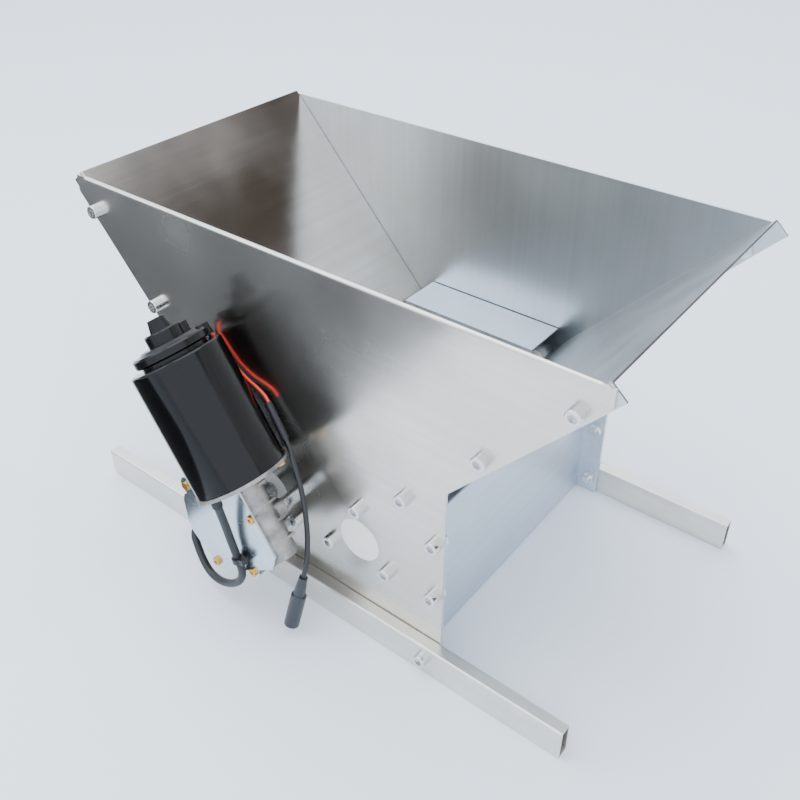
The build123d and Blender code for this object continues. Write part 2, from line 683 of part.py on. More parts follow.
def armature_windings():
    """Copper in the slots and bulging over both ends of the core."""
    body = post(0, 0, CORE[0] - 8, CORE[0] - 0.05, 20, 22.5)
    body += post(0, 0, CORE[1] + 0.05, CORE[1] + 9, 22.5, 19)
    for angle in range(0, 360, 45):
        body += Rot(0, 0, angle) * block(14.2, 22, -2.4, 2.4, CORE[0] - 1, CORE[1] + 1)
    return Pos(MOTOR_X, MOTOR_Y, 0) * (body - post(0, 0, 0, CAN_TOP, MOTOR_SHAFT_R + 2))


COMMUTATOR = (37.0, 49.0)


def commutator():
    body = post(0, 0, *COMMUTATOR, 10)
    for angle in range(0, 180, 18):
        body -= Rot(0, 0, angle) * block(-12, 12, -0.35, 0.35, COMMUTATOR[0] + 1.5, COMMUTATOR[1] + 1)
    body += post(0, 0, COMMUTATOR[0], COMMUTATOR[1], 8.5)
    return Pos(MOTOR_X, MOTOR_Y, 0) * (body - post(0, 0, 0, CAN_TOP, MOTOR_SHAFT_R + THREAD_GAP))


def motor_can():
    """Drawn steel can, its closed end up with a neck hole."""
    body = post(0, 0, CAN_BASE, CAN_TOP, CAN_R)
    body = fillet(body.edges().sort_by(Axis.Z)[-1], 2.0)
    body -= post(0, 0, CAN_BASE - 1, CAN_TOP - CAN_WALL, CAN_R - CAN_WALL)
    body -= post(0, 0, CAN_TOP - 3, CAN_TOP + 1, 20)
    return Pos(MOTOR_X, MOTOR_Y, 0) * body


DOME_ANGLE = 63.6
OUTLET_ANGLE = 95.0
OUTLET_DROP = 36.9  # degrees that the leads point down where they leave
OUTLET_REACH = 30.2
OUTLET_HIGH = 128.0
LEAD_STEP = 1.9  # half the distance between the two leads there
CAP_DISC_R = 27.0


def motor_end_cap():
    """Stepped cap over the can's neck, with the bearing boss and the lead outlet."""
    body = post(0, 0, CAN_TOP, CAN_TOP + 3, 23.5)
    disc = post(0, 0, CAN_TOP + 2.6, CAN_TOP + 9.4, CAP_DISC_R)
    body += chamfer(disc.edges().filter_by(GeomType.CIRCLE), 1.2)
    body += post(0, 0, CAN_TOP + 9.4, CAN_TOP + 11.4, 22, 19)
    second = post(0, 0, CAN_TOP + 10, CAN_TOP + 20, 13)
    body += chamfer(second.edges().filter_by(GeomType.CIRCLE), 1.0)
    body += post(0, 0, CAN_TOP + 20, CAN_TOP + 28.5, 8, 6)
    boss = post(23.5, 0, CAN_TOP + 2.6, CAN_TOP + 11, 6.3, 5.4)
    body += Rot(0, 0, DOME_ANGLE) * (post(12.5, 0, CAN_TOP + 9, CAN_TOP + 18.5, 4.8) + boss)
    body += Rot(0, 0, OUTLET_ANGLE) * boss
    body -= post(0, 0, CAN_TOP - 1, CAN_TOP + 17, 8)
    body -= post(0, 0, CAN_TOP - 1, CAN_TOP + 7, 20)
    return Pos(MOTOR_X, MOTOR_Y, 0) * (body - outlet_plug(THREAD_GAP))


def outlet_plug(gap=0.0):
    """Oval rubber plug in the cap's outlet, round both leads, with its face where they leave."""
    face = SlotCenterToCenter(2 * LEAD_STEP, LEAD_D + 1.8 + 2 * gap)
    body = Rot(0, 0, 90) * extrude(face, 4.5)
    lean = Rot(0, -90 + OUTLET_DROP, 0)
    return Rot(0, 0, OUTLET_ANGLE) * Pos(OUTLET_REACH, 0, OUTLET_HIGH) * lean * body


def lead_grommet():
    return Pos(MOTOR_X, MOTOR_Y, 0) * outlet_plug()


def magnets():
    """Two ferrite arcs inside the can."""
    ring = post(0, 0, 52, 104, CAN_R - CAN_WALL - 0.05) - post(0, 0, 50, 106, MAGNET_IN)
    return [
        Pos(MOTOR_X, MOTOR_Y, 0) * (ring & (Rot(0, 0, turn) * block(6, 40, -40, 40, 50, 106)))
        for turn in (0, 180)
    ]


def brush_plate():
    """Ring that carries the brush guides."""
    body = post(0, 0, CAN_BASE + 3.2, CAN_BASE + 5.2, CAN_R - CAN_WALL - 0.6)
    body -= post(0, 0, 0, 60, 13)
    for turn in (0, 180):
        guide = block(13.5, 27, -5, 5, CAN_BASE + 5, CAN_BASE + 16) - block(12, 29, -3.6, 3.6, 39, 46.5)
        body += Rot(0, 0, turn) * guide
    for x, y in tie_places():
        body -= post(x - MOTOR_X, y - MOTOR_Y, 0, 60, 1.5 + THREAD_GAP)
    return Pos(MOTOR_X, MOTOR_Y, 0) * body


def brushes():
    brush = block(10.2, 21, -3.4, 3.4, 39.3, 46.2)
    return [Pos(MOTOR_X, MOTOR_Y, 0) * Rot(0, 0, turn) * brush for turn in (0, 180)]


def brush_springs():
    """Folded strips behind the brushes."""
    strip = block(21.2, 21.7, -2.6, 2.6, 40, 45.5) + block(26, 26.5, -2.6, 2.6, 40, 45.5)
    strip += block(21.2, 26.5, -2.6, -2.1, 40, 45.5)
    return [Pos(MOTOR_X, MOTOR_Y, 0) * Rot(0, 0, turn) * strip for turn in (0, 180)]


def shaft_bearings():
    """Sintered bushes at the thrust end, under the can and in the end cap."""
    solids = []
    for low, high, outer in ((-29.5, -22, 8.2), (20, 27.5, 8.2), (CAN_TOP + 8.5, CAN_TOP + 16.5, 7.95)):
        ring = post(0, 0, low, high, outer) - post(0, 0, low - 1, high + 1, MOTOR_SHAFT_R + SHAFT_FIT)
        solids.append(Pos(MOTOR_X, MOTOR_Y, 0) * ring)
    return solids


def cable_grommets():
    """Rubber grommets of the sleeved cable: under the flange, and in the housing's side."""
    low = CAN_BASE - FLANGE_THICK
    start, ahead = Vector(*CABLE_ROUTE[0]), Vector(*CABLE_ROUTE[1])
    frame = Plane(origin=start, z_dir=(start - ahead).normalized())
    nozzle = frame.location * post(0, 0, 0, 9.5, CABLE_D / 2 + 0.8)
    top = GEARMOTOR.inverse() * nozzle - block(-80, 80, -120, 60, low, 200)
    top += post(GROMMET_X, GROMMET_Y, low - 1.4, low, GROMMET_R)
    top += post(GROMMET_X, GROMMET_Y, low - 1, CAN_BASE, GROMMET_R - 1.1)
    x, y, z = SIDE_PORT
    side = Pos(x + 2.2, y, z) * Rot(0, 90, 0) * Cylinder(CABLE_D / 2 + 1.1, 4.5)
    return [top, side]


# ---- cords: routes are points on their axes ----
RED_ROUTE = [
    (-82.4, -6.8, 204.1), (-81.5, -4.4, 202.5), (-79.8, -2.4, 199.6), (-73.4, -2.2, 194.5),
    (-66.7, -2.3, 187.0), (-58.7, -2.4, 179.8), (-47.4, -2.8, 174.8), (-40.6, -3.3, 173.4),
    (-33.5, -3.9, 171.2), (-30.2, -4.3, 169.4), (-28.0, -4.4, 166.5),
]
BLACK_ROUTE = [
    (-85.5, -7.1, 202.0), (-84.6, -4.7, 200.4), (-82.8, -2.7, 197.5), (-76.6, -2.5, 192.3),
    (-69.9, -2.4, 184.8), (-61.7, -2.2, 177.7), (-50.0, -2.8, 173.1), (-42.6, -3.3, 171.2),
    (-35.5, -3.9, 169.2), (-32.1, -4.3, 167.6), (-30.0, -4.4, 165.1),
]
SPLICE_ROUTE = [(-29.0, -4.4, 165.8), (-20.6, -5.0, 153.9), (-12.6, -6.0, 142.9)]
CORD_ROUTE = [
    (-12.6, -6.0, 142.9), (-8.3, -6.5, 136.9), (-4.8, -8.5, 129.1), (3.1, -11.0, 117.1),
    (10.7, -15.0, 99.4), (16.7, -20.0, 78.5), (23.2, -29.6, 64.0), (21.8, -32.0, 53.4),
]
PLUG_END = (16.3, -42.0, 10.0)
CABLE_ROUTE = [
    (-25.3, -61.0, 114.2), (-26.4, -56.5, 95.5), (-24.2, -54.2, 76.5), (-19.9, -53.6, 61.7),
    (-17.1, -52.9, 50.4), (-22.4, -51.8, 36.3), (-35.4, -50.5, 23.5), (-49.7, -49.0, 16.2),
    (-62.4, -47.0, 15.2), (-71.5, -45.0, 20.4), (-79.1, -42.5, 28.5), (-85.0, -40.0, 36.5),
    (-80.5, -38.0, 47.3), (-72.2, -38.0, 53.1),
]


def corner_radii(route):
    """Largest arcs that the runs beside each corner allow."""
    radii = []
    for before, here, after in zip(route, route[1:], route[2:]):
        into = Vector(*here) - Vector(*before)
        out = Vector(*after) - Vector(*here)
        turn = math.radians(into.get_angle(out))
        radii.append(0.45 * min(into.length, out.length) / math.tan(turn / 2))
    return radii


def tube(name, route, diameter):
    """Cord of round section along its route, in the machine's frame."""
    radii = corner_radii(route)
    path = FilletPolyline(*route, radius=radii)
    wire = path.wire() if hasattr(path, "wire") else Wire(path.edges())
    start = Plane(origin=wire @ 0, z_dir=wire % 0)
    body = sweep(start * Circle(diameter / 2), path=wire)
    expected = math.pi * diameter**2 / 4 * wire.length
    print(
        f"{name}: length {wire.length:.1f}, tightest arc {min(radii) / diameter:.1f} d,",
        f"radii {[round(r, 1) for r in radii]}, volume {body.volume / expected:.4f} of section x length",
    )
    return body


def dc_connector():
    """Moulded socket on the cord's end, with its tapered relief and the contact barrel's hole."""
    start, end = Vector(*CORD_ROUTE[-1]), Vector(*PLUG_END)
    length = (end - start).length
    relief = length * 0.36
    frame = Plane(origin=start, z_dir=(end - start).normalized())
    body = post(0, 0, 0, relief, CORD_D / 2 + 1.2, 4.4)
    grip = post(0, 0, relief - 0.5, length, 5.6)
    body += chamfer(grip.edges().filter_by(GeomType.CIRCLE), 1.0)
    body -= post(0, 0, length - 11, length + 1, 2.8)
    return frame.location * body


def cable_tie():
    """Tie round the sleeved cable, with its square head."""
    here, ahead = Vector(*CABLE_ROUTE[3]), Vector(*CABLE_ROUTE[2])
    behind = Vector(*CABLE_ROUTE[4])
    frame = Plane(origin=here, x_dir=(1, 0, 0.2), z_dir=(behind - ahead).normalized())
    hole_r = CABLE_D / 2 + 0.35
    body = post(0, 0, -2, 2, hole_r + 1.1) + block(hole_r, hole_r + 4, -2.6, 2.6, -2.4, 2.4)
    return frame.location * (body - post(0, 0, -4, 4, hole_r))


# ---- the whole machine ----
def write_body():
    wall, panel = hopper_wall(), chute_panel()
    write("near_side_plate", near_plate())
    write("far_side_plate", far_plate())
    write("right_hopper_wall", wall)
    write("left_hopper_wall", mirror(wall, Plane.YZ))
    write("right_chute_panel", panel)
    write("left_chute_panel", mirror(panel, Plane.YZ))
    write("near_foot_rail", foot_rail(-RAIL_THICK, -RAIL_OFFSET))
    write("far_foot_rail", foot_rail(DEPTH, RAIL_OFFSET))
    write("gear_guard", gear_guard())
    write("guard_spacers", *guard_spacers())
    write("guard_screws", *guard_screws())


def write_fasteners():
    wall_length = SHEET + WALL + NUT_HIGH + 2
    bearing_length = SHEET + BEARING_THICK + NUT_HIGH + 2
    near_nut, far_nut = SHEET + WALL, INNER_FAR - WALL - NUT_HIGH
    near = near_screws(WALL_BOLTS, 0, wall_length)
    write("wall_screws", *near, *far_screws(WALL_BOLTS, DEPTH, wall_length))
    everywhere = WALL_BOLTS + RAIL_BOLTS
    write("wall_nuts", *nuts(everywhere, near_nut), *nuts(everywhere, far_nut))
    rail_length = wall_length + RAIL_THICK
    near = near_screws(RAIL_BOLTS, -RAIL_THICK, rail_length)
    write("rail_screws", *near, *far_screws(RAIL_BOLTS, DEPTH + RAIL_THICK, rail_length))
    near = near_screws(BEARING_BOLTS, 0, bearing_length)
    write("bearing_screws", *near, *far_screws(BEARING_BOLTS, DEPTH, bearing_length))
    near = nuts(BEARING_BOLTS, SHEET + BEARING_THICK)
    write("bearing_nuts", *near, *nuts(BEARING_BOLTS, INNER_FAR - BEARING_THICK - NUT_HIGH))


def write_rollers():
    write("near_drive_bearing", bearing(DRIVE_X, True, False))
    write("far_drive_bearing", bearing(DRIVE_X, False, True))
    write("near_driven_bearing", bearing(DRIVEN_X, True, True))
    write("far_driven_bearing", bearing(DRIVEN_X, False, True))
    write("drive_roller", roller(DRIVE_X, 0))
    write("driven_roller", roller(DRIVEN_X, 180 / RIB_COUNT))
    drive = roller_shaft(DRIVE_X, SHAFT_JOINT + 0.2) - Pos(DRIVE_X, 0, AXIS_HIGH) * drive_pin_hole()
    write("drive_shaft", drive)
    write("driven_shaft", roller_shaft(DRIVEN_X, 2.5))
    write("drive_gear", roller_gear(DRIVE_X, 0))
    write("driven_gear", roller_gear(DRIVEN_X, 180 / GEAR_TEETH))
    write("drive_gear_key", gear_key(DRIVE_X))
    write("driven_gear_key", gear_key(DRIVEN_X))


def drive_pin_hole():
    """Hole for the coupling's second pin, square to the gearbox's frame."""
    return Rot(0, -MOTOR_LEAN, 0) * coupling_pin(0, 0, 1, 2.0 + THREAD_GAP, 12)


def write_gearbox():
    write("gearbox_housing", GEARMOTOR * gearbox_housing())
    write("gearbox_cover", GEARMOTOR * gearbox_cover())
    write("gearbox_gasket", GEARMOTOR * gearbox_gasket())
    write("cover_screws", *[GEARMOTOR * s for s in cover_screws()])
    write("gearbox_standoffs", *standoffs())
    write("gearbox_mount_screws", *mount_screws())
    write("output_bush", GEARMOTOR * output_bush())
    write("worm_wheel", GEARMOTOR * worm_wheel())
    write("output_shaft", GEARMOTOR * output_shaft())
    write("shaft_coupling", GEARMOTOR * coupling())
    pins = [wheel_pin(), coupling_pin(0, 0, 0), coupling_pin(0, 0, 1)]
    write("drive_pins", *[GEARMOTOR * pin for pin in pins])


def write_motor():
    write("motor_can", GEARMOTOR * motor_can())
    write("motor_end_cap", GEARMOTOR * motor_end_cap())
    write("motor_tie_screws", *[GEARMOTOR * s for s in tie_screws()])
    write("armature_shaft", GEARMOTOR * armature_shaft())
    write("armature_core", GEARMOTOR * armature_core())
    write("armature_windings", GEARMOTOR * armature_windings())
    write("commutator", GEARMOTOR * commutator())
    write("motor_magnets", *[GEARMOTOR * m for m in magnets()])
    write("brush_plate", GEARMOTOR * brush_plate())
    write("brushes", *[GEARMOTOR * b for b in brushes()])
    write("brush_springs", *[GEARMOTOR * s for s in brush_springs()])
    write("shaft_bearings", *[GEARMOTOR * b for b in shaft_bearings()])
    write("cable_grommets", *[GEARMOTOR * g for g in cable_grommets() + [lead_grommet()]])


def write_cords():
    write("red_lead", tube("red_lead", RED_ROUTE, LEAD_D))
    write("black_lead", tube("black_lead", BLACK_ROUTE, LEAD_D))
    write("splice_sleeve", tube("splice_sleeve", SPLICE_ROUTE, SLEEVE_D))
    write("power_cord", tube("power_cord", CORD_ROUTE, CORD_D))
    write("dc_connector", dc_connector())
    write("sleeved_cable", tube("sleeved_cable", CABLE_ROUTE, CABLE_D))
    write("cable_tie", cable_tie())


os.makedirs("parts", exist_ok=True)
write_body()
write_fasteners()
write_rollers()
write_gearbox()
write_motor()
write_cords()
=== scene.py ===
"""Looks of a two-roller grape crusher with a gearmotor: finishes, cords, studio and camera."""

import enum
import logging
import math
from dataclasses import dataclass, field
from typing import Any, ClassVar

import bpy
from mathutils import Matrix, Vector


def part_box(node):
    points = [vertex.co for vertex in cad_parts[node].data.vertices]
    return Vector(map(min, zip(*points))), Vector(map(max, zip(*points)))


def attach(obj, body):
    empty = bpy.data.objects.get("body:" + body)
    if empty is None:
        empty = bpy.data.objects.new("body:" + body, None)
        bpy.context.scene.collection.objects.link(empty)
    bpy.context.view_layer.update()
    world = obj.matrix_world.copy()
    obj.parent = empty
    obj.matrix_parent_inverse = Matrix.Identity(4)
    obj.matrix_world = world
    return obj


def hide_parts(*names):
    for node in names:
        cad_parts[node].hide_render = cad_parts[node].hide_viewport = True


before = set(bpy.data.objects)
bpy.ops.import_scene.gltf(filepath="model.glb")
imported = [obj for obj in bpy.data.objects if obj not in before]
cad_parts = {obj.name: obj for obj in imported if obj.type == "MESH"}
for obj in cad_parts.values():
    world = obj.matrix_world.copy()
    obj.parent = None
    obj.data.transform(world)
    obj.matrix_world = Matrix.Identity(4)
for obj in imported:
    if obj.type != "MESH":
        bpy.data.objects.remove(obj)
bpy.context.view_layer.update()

log = logging.getLogger("grape_crusher")

MM = 0.001
FRAME_BODY = "frame_body"
PLATE_FACE_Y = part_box("near_side_plate")[0][1]  # outer face of the near side plate, for the routes
MIX_SHARE, MIX_FIRST, MIX_SECOND, MIX_RESULT = 0, 6, 7, 2  # the mix node's colour sockets

Socket = bpy.types.NodeSocket
Tree = bpy.types.NodeTree
RoutePoint = tuple[float, float, float]


def linear(hex_code: str) -> tuple[float, float, float, float]:
    """Turn an sRGB hex colour into linear light.

    Args:
        hex_code: colour written as RRGGBB.

    Returns:
        Linear red, green, blue and an alpha of 1.
    """
    channels = [int(hex_code[i : i + 2], 16) / 255 for i in (0, 2, 4)]
    red, green, blue = (c / 12.92 if c <= 0.04045 else ((c + 0.055) / 1.055) ** 2.4 for c in channels)
    return red, green, blue, 1.0


def add_node(tree: Tree, kind: str, inputs: dict[str | int, Any] | None = None, **settings: Any) -> Any:
    """Add a shader node with its settings and links.

    Args:
        tree: node tree that takes the node.
        kind: Blender's name of the node type.
        inputs: socket name or number, to a value or to another node's output.
        settings: attributes set on the node.

    Returns:
        The new node.
    """
    node = tree.nodes.new(kind)
    for name, value in settings.items():
        setattr(node, name, value)
    for key, value in (inputs or {}).items():
        if isinstance(value, Socket):
            tree.links.new(value, node.inputs[key])
        else:
            node.inputs[key].default_value = value
    return node


class Grain(enum.Enum):
    """Direction in which a surface was rolled, drawn or brushed."""

    ALONG_X = (0.02, 1.0, 1.0)
    ALONG_Y = (1.0, 0.02, 1.0)
    ALONG_Z = (1.0, 1.0, 0.02)
    NONE = (1.0, 1.0, 1.0)


def millimetres(tree: Tree, stretch: Grain = Grain.NONE) -> Socket:
    """Surface coordinates in millimetres, squeezed along a grain.

    Args:
        tree: node tree of the material.
        stretch: direction of the grain.

    Returns:
        The vector's socket.
    """
    place = add_node(tree, "ShaderNodeTexCoord").outputs["Object"]
    scale = tuple(part / MM for part in stretch.value)
    return add_node(tree, "ShaderNodeMapping", {"Vector": place, "Scale": scale}).outputs["Vector"]


def cloud(tree: Tree, size: float, detail: float = 3.0, stretch: Grain = Grain.NONE) -> Socket:
    """Noise whose features are a given number of millimetres wide.

    Args:
        tree: node tree of the material.
        size: width of a feature in millimetres.
        detail: octaves of the noise.
        stretch: direction of the grain.

    Returns:
        The noise's socket, from 0 to 1.
    """
    inputs = {"Vector": millimetres(tree, stretch), "Scale": 1.0 / size, "Detail": detail}
    return add_node(tree, "ShaderNodeTexNoise", inputs).outputs["Fac"]


def spread(
    tree: Tree, value: Socket, low: float, high: float, start: float = 0.3, end: float = 0.7
) -> Socket:
    """Map the middle of a noise onto a range.

    Args:
        tree: node tree of the material.
        value: noise from 0 to 1.
        low: result at and below start.
        high: result at and above end.
        start: lower end of what is mapped.
        end: upper end of what is mapped.

    Returns:
        The result's socket.
    """
    inputs = {"Value": value, "From Min": start, "From Max": end, "To Min": low, "To Max": high}
    return add_node(tree, "ShaderNodeMapRange", inputs).outputs["Result"]


def blend(tree: Tree, share: Socket, first: str | Socket, second: str | Socket) -> Socket:
    """Mix two colours.

    Args:
        tree: node tree of the material.
        share: how much of the second shows.
        first: hex colour or socket.
        second: hex colour or socket.

    Returns:
        The mixed colour's socket.
    """
    ends = [c if isinstance(c, Socket) else linear(c) for c in (first, second)]
    inputs = {MIX_SHARE: share, MIX_FIRST: ends[0], MIX_SECOND: ends[1]}
    return add_node(tree, "ShaderNodeMix", inputs, data_type="RGBA").outputs[MIX_RESULT]


def relief(tree: Tree, height: Socket, depth: float, below: Socket | None = None) -> Socket:
    """Bump of a real depth.

    Args:
        tree: node tree of the material.
        height: height from 0 to 1.
        depth: full height in millimetres.
        below: normal that this one is laid over.

    Returns:
        The normal's socket.
    """
    inputs: dict[str | int, Any] = {"Height": height, "Distance": depth * MM, "Strength": 1.0}
    if below is not None:
        inputs["Normal"] = below
    return add_node(tree, "ShaderNodeBump", inputs).outputs["Normal"]


# ---- finishes ----
@dataclass(frozen=True)
class Finish:
    """A named surface finish that makes its own material."""

    name: str
    colour: str

    made: ClassVar[dict[str, bpy.types.Material]] = {}

    def material(self) -> bpy.types.Material:
        """Make the material at the first call.

        Returns:
            The finish's one material.
        """
        if self.name not in self.made:
            material = bpy.data.materials.new(self.name)
            material.use_nodes = True
            tree = material.node_tree
            self.dress(tree, tree.nodes["Principled BSDF"])
            self.made[self.name] = material
        return self.made[self.name]

    def dress(self, tree: Tree, shader: Any) -> None:
        """Set the shader's sockets.

        Args:
            tree: node tree of the material.
            shader: its Principled shader.
        """
        shader.inputs["Base Color"].default_value = linear(self.colour)


@dataclass(frozen=True)
class RolledSheet(Finish):
    """Cold rolled stainless sheet: a soft mirror with rolling lines, and smudges from handling."""

    smudge: str = "B4B2AC"
    roughness: float = 0.30
    grain: Grain = Grain.ALONG_X
    smudge_size: float = 70.0
    line_width: float = 0.5
    line_depth: float = 0.004

    def dress(self, tree: Tree, shader: Any) -> None:
        """Mix clean and handled metal, and lay the rolling lines over both.

        Args:
            tree: node tree of the material.
            shader: its Principled shader.
        """
        handled = spread(tree, cloud(tree, self.smudge_size, 2.0), 0.0, 1.0, 0.35, 0.75)
        lines = cloud(tree, self.line_width, 2.0, self.grain)
        streaks = spread(tree, cloud(tree, self.line_width * 8, 2.0, self.grain), 0.0, 0.35)
        clean = blend(tree, streaks, self.colour, self.smudge)
        colour = blend(tree, spread(tree, handled, 0.0, 0.5, 0.0, 1.0), clean, self.smudge)
        rough = spread(tree, handled, self.roughness, self.roughness + 0.10, 0.0, 1.0)
        shader.inputs["Metallic"].default_value = 1.0
        tree.links.new(colour, shader.inputs["Base Color"])
        tree.links.new(rough, shader.inputs["Roughness"])
        tree.links.new(relief(tree, lines, self.line_depth), shader.inputs["Normal"])


@dataclass(frozen=True)
class TurnedMetal(Finish):
    """Turned, headed or ground metal: fairly bright, with small changes of tone from tool marks."""

    shade: str = "8A8A88"
    roughness: float = 0.24
    mark: float = 1.2
    depth: float = 0.01
    edge: float = 0.35

    def dress(self, tree: Tree, shader: Any) -> None:
        """Mix two tones of the metal and round its edges where light catches them.

        Args:
            tree: node tree of the material.
            shader: its Principled shader.
        """
        marks = cloud(tree, self.mark, 4.0)
        bevel = add_node(tree, "ShaderNodeBevel", {"Radius": self.edge * MM}, samples=4)
        shader.inputs["Metallic"].default_value = 1.0
        tone = blend(tree, spread(tree, marks, 0.0, 0.6), self.colour, self.shade)
        tree.links.new(tone, shader.inputs["Base Color"])
        rough = spread(tree, marks, self.roughness, self.roughness + 0.14)
        tree.links.new(rough, shader.inputs["Roughness"])
        tree.links.new(relief(tree, marks, self.depth, bevel.outputs["Normal"]), shader.inputs["Normal"])


@dataclass(frozen=True)
class CastMetal(Finish):
    """Die-cast metal: a dull skin with a fine pebbled grain and darker patches at random."""

    shade: str = "5E5C59"
    roughness: float = 0.46
    pebble: float = 0.7
    depth: float = 0.05
    edge: float = 0.6

    def dress(self, tree: Tree, shader: Any) -> None:
        """Lay a pebbled skin over rounded edges, with darker patches at random.

        Args:
            tree: node tree of the material.
            shader: its Principled shader.
        """
        skin = cloud(tree, self.pebble, 4.0)
        patches = cloud(tree, 9.0, 4.0)
        bevel = add_node(tree, "ShaderNodeBevel", {"Radius": self.edge * MM}, samples=4)
        tone = blend(tree, spread(tree, patches, 0.0, 0.8), self.colour, self.shade)
        shader.inputs["Metallic"].default_value = 1.0
        tree.links.new(tone, shader.inputs["Base Color"])
        rough = spread(tree, skin, self.roughness - 0.06, self.roughness + 0.12)
        tree.links.new(rough, shader.inputs["Roughness"])
        tree.links.new(relief(tree, skin, self.depth, bevel.outputs["Normal"]), shader.inputs["Normal"])


@dataclass(frozen=True)
class PassivatedZinc(Finish):
    """Zinc plating with a passivated film: bright, with a thin drift of colour across the part."""

    film: str = "D9D3BE"
    roughness: float = 0.2
    drift: float = 22.0
    depth: float = 0.006
    edge: float = 0.3

    def dress(self, tree: Tree, shader: Any) -> None:
        """Let the film's colour drift over the plating.

        Args:
            tree: node tree of the material.
            shader: its Principled shader.
        """
        drift = spread(tree, cloud(tree, self.drift, 3.0), 0.0, 0.7, 0.35, 0.7)
        fine = cloud(tree, 0.8, 3.0)
        bevel = add_node(tree, "ShaderNodeBevel", {"Radius": self.edge * MM}, samples=4)
        shader.inputs["Metallic"].default_value = 1.0
        tree.links.new(blend(tree, drift, self.colour, self.film), shader.inputs["Base Color"])
        rough = spread(tree, fine, self.roughness, self.roughness + 0.08)
        tree.links.new(rough, shader.inputs["Roughness"])
        tree.links.new(relief(tree, fine, self.depth, bevel.outputs["Normal"]), shader.inputs["Normal"])


@dataclass(frozen=True)
class StovedPaint(Finish):
    """Gloss paint stoved on steel: deep colour under a clear gloss, with a slight orange peel."""

    dust: str = "2A2C30"
    roughness: float = 0.22
    peel: float = 2.4
    depth: float = 0.02
    edge: float = 0.4
    coat: float = 0.1
    coat_roughness: float = 0.08
    ior: float = 1.3  # real paint is near 1.5, which greyed the can under this light

    def dress(self, tree: Tree, shader: Any) -> None:
        """Lay orange peel over rounded edges, with a little dust in the colour.

        Args:
            tree: node tree of the material.
            shader: its Principled shader.
        """
        peel = cloud(tree, self.peel, 1.0)
        dust = spread(tree, cloud(tree, 6.0, 6.0), 0.0, 0.5, 0.5, 0.8)
        bevel = add_node(tree, "ShaderNodeBevel", {"Radius": self.edge * MM}, samples=4)
        shader.inputs["Coat Weight"].default_value = self.coat
        shader.inputs["Coat Roughness"].default_value = self.coat_roughness
        shader.inputs["IOR"].default_value = self.ior
        tree.links.new(blend(tree, dust, self.colour, self.dust), shader.inputs["Base Color"])
        rough = spread(tree, dust, self.roughness, self.roughness + 0.1, 0.0, 1.0)
        tree.links.new(rough, shader.inputs["Roughness"])
        tree.links.new(relief(tree, peel, self.depth, bevel.outputs["Normal"]), shader.inputs["Normal"])


@dataclass(frozen=True)
class Polymer(Finish):
    """Moulded, machined or extruded plastic or rubber, with a fine grain."""

    shade: str = "808080"
    roughness: float = 0.45
    grain: float = 0.6
    depth: float = 0.02
    ior: float = 1.5

    def dress(self, tree: Tree, shader: Any) -> None:
        """Set a slightly uneven colour and a fine grain.

        Args:
            tree: node tree of the material.
            shader: its Principled shader.
        """
        fine = cloud(tree, self.grain, 3.0)
        broad = spread(tree, cloud(tree, 12.0, 4.0), 0.0, 0.5)
        shader.inputs["IOR"].default_value = self.ior
        tree.links.new(blend(tree, broad, self.colour, self.shade), shader.inputs["Base Color"])
        rough = spread(tree, fine, self.roughness - 0.05, self.roughness + 0.08)
        tree.links.new(rough, shader.inputs["Roughness"])
        tree.links.new(relief(tree, fine, self.depth), shader.inputs["Normal"])


# 2B stainless sheet: a soft mirror, so its tone is mostly what it reflects. The real sheets are one steel.
# Their base and smudge colours differ here as a painted reflection of that tone, and are not five alloys.
SIDE_SHEET = RolledSheet(
    "stainless_side_sheet", "DCD8D0", smudge="C2BEB6", roughness=0.2, line_depth=0.002
)
FAR_SHEET = RolledSheet(
    "stainless_far_sheet", "D6DDE1", smudge="BFC7CC", roughness=0.3, grain=Grain.ALONG_Z
)
LEFT_SHEET = RolledSheet(
    "stainless_left_sheet", "C9C2BA", smudge="ADA399", roughness=0.16, grain=Grain.ALONG_Y, line_depth=0.002
)
RIGHT_SHEET = RolledSheet(
    "stainless_right_sheet", "CFD4D8", smudge="B4BBC0", roughness=0.3, grain=Grain.ALONG_Y
)
PANEL_SHEET = RolledSheet(
    "stainless_panel_sheet", "D6DDE5", smudge="BFC7CF", roughness=0.4, grain=Grain.ALONG_Y
)
TUBE = RolledSheet(
    "stainless_tube", "E2DFD8", smudge="CBC8C1", roughness=0.3, smudge_size=30.0, line_width=0.4
)
# Headed, ground and hobbed steel: small pieces that catch sharp highlights.
STAINLESS_SCREW = TurnedMetal("headed_stainless_screw", "E0E1E0", shade="B9BBBB", roughness=0.16)
GROUND_BAR = TurnedMetal("ground_steel_bar", "B9BBBD", shade="8D9093", roughness=0.2)
HOBBED_STEEL = TurnedMetal("hobbed_gear_steel", "8B8C8E", shade="56575A", roughness=0.32)
DRUM_STEEL = TurnedMetal("turned_stainless_drum", "B5B9BD", shade="868B90", roughness=0.3, mark=3.0)
# As-cast and plated pieces of the gearbox: a dull skin beside bright lids and screws.
DIE_CAST = CastMetal("die_cast_aluminium", "A5A29E", shade="6E6B68")
BLUE_ZINC = PassivatedZinc("blue_passivated_zinc", "C9D6DE", film="B9C4CC")
YELLOW_ZINC = PassivatedZinc("yellow_passivated_zinc", "D9AC5E", film="B98B46", roughness=0.26, drift=3.0)
# Black paint: nearly no colour of its own, so its highlights give it shape.
BLACK_GLOSS = StovedPaint("stoved_black_gloss", "030304", dust="08090A", roughness=0.12)
BLACK_CAP = StovedPaint(
    "black_coated_casting", "050607", dust="0E1012", roughness=0.24, peel=1.2, depth=0.02
)
